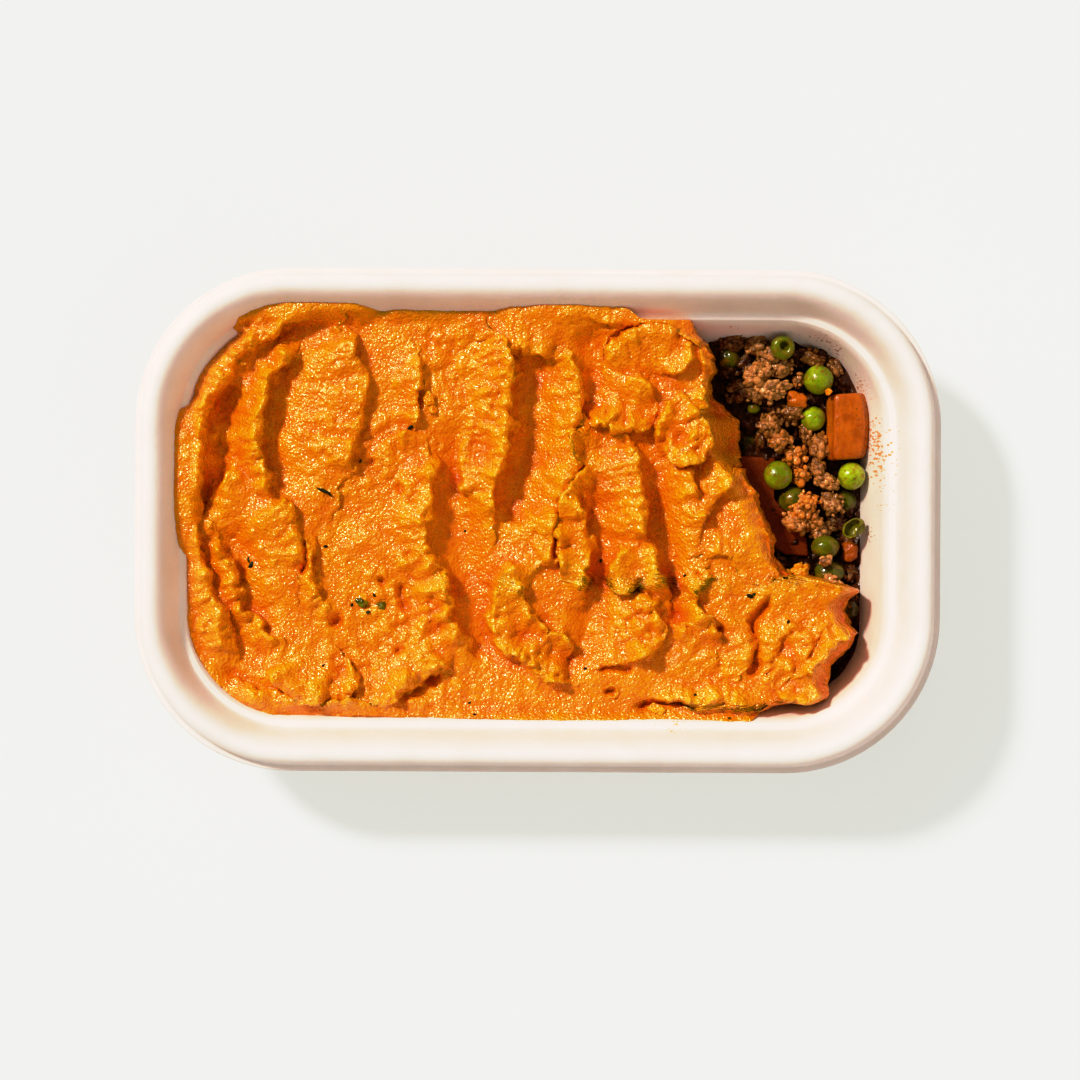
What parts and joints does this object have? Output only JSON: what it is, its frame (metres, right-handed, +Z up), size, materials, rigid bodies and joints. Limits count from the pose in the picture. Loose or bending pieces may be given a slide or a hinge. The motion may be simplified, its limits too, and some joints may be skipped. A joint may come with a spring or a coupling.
{
  "type": "shepherds pie",
  "caption": "Ready-to-eat shepherd's pie in a rounded rectangular moulded fibre tray: spoon-swept sweet potato mash over mince with peas and carrot, bare at one end.",
  "frame": {"origin": "middle of the foot ring's underside, the lowest plane of the tray", "axes": "+Z up, +X along the tray's length towards the end where the mince is bare, +Y across it towards the back wall"},
  "size_m": [0.22, 0.1376, 0.042],
  "materials": {
    "fibre": "moulded plant fibre, matte, off white with a warm tint, fine felt texture",
    "mash": "sweet potato mash, moist, bright orange with deeper orange hollows and a fine wet sparkle",
    "mince": "browned mince in thin gravy, glossy, brown with orange glaze",
    "pea": "cooked green pea, smooth skin with a sauce glaze",
    "carrot": "cooked carrot, moist, orange"
  },
  "bodies": {
    "root": {"tray": "fibre", "filling": "mince", "mash": "mash", "pea_1": "pea", "pea_2": "pea", "pea_3": "pea", "pea_4": "pea", "pea_5": "pea", "pea_6": "pea", "pea_7": "pea", "pea_8": "pea", "pea_9": "pea", "pea_10": "pea", "pea_11": "pea", "pea_12": "pea", "pea_hollow": "pea", "pea_skin": "pea", "pea_in_mash_1": "pea", "pea_in_mash_2": "pea", "carrot_stick": "carrot", "carrot_slab": "carrot", "carrot_dice_1": "carrot", "carrot_dice_2": "carrot"}
  },
  "joints": []
}
